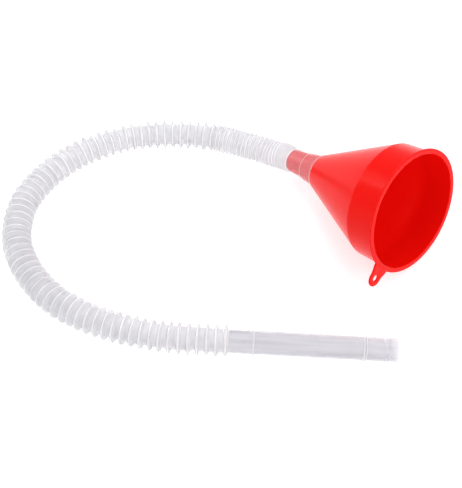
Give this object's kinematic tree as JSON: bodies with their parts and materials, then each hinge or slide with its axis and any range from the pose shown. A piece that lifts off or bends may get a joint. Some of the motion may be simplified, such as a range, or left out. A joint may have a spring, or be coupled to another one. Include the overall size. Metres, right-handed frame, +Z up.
{
  "type": "funnel",
  "caption": "Wide-mouthed filling funnel with a hanging tab and a long pull-off corrugated hose that ends in a plain nozzle.",
  "frame": {"origin": "on the table, under the middle of the funnel's own box; the funnel lies on the end of its band and on the hose", "axes": "+Z up from the table, +X the way the mouth faces, seen from above"},
  "size_m": [0.4512, 0.3945, 0.1346],
  "materials": {
    "funnel_red": "glossy moulded polypropylene",
    "hose_clear": "milky translucent blow-moulded polyethylene"
  },
  "bodies": {
    "hose_start": {"hose_cuff": "hose_clear", "hose_section_1": "hose_clear"},
    "funnel": {"funnel": "funnel_red"},
    "hose_near": {"hose_section_2": "hose_clear"},
    "hose_middle": {"hose_section_3": "hose_clear"},
    "hose_far": {"hose_section_4": "hose_clear"},
    "nozzle_end": {"hose_section_5": "hose_clear", "hose_nozzle": "hose_clear"}
  },
  "joints": [
    {"name": "funnel_pull_off", "type": "slide", "parent": "hose_start", "child": "funnel", "axis": [0.9634, 0, 0.2682], "range_m": [0, 0.045]},
    {"name": "hose_bend_1", "type": "hinge", "parent": "hose_start", "child": "hose_near", "pos_m": [-0.16526, -0.01773, 0.016], "axis": [0, 0, -1], "range_deg": [-3, 51], "deforming": ["hose_section_1", "hose_section_2"]},
    {"name": "hose_bend_2", "type": "hinge", "parent": "hose_near", "child": "hose_middle", "pos_m": [-0.27426, -0.15173, 0.016], "axis": [0, 0, -1], "range_deg": [-3, 59], "deforming": ["hose_section_2", "hose_section_3"]},
    {"name": "hose_bend_3", "type": "hinge", "parent": "hose_middle", "child": "hose_far", "pos_m": [-0.23026, -0.28073, 0.016], "axis": [0, 0, -1], "range_deg": [-3, 66], "deforming": ["hose_section_3", "hose_section_4"]},
    {"name": "hose_bend_4", "type": "hinge", "parent": "hose_far", "child": "nozzle_end", "pos_m": [-0.09326, -0.29673, 0.016], "axis": [0, 0, -1], "range_deg": [-3, 46], "deforming": ["hose_section_4", "hose_section_5"]}
  ]
}
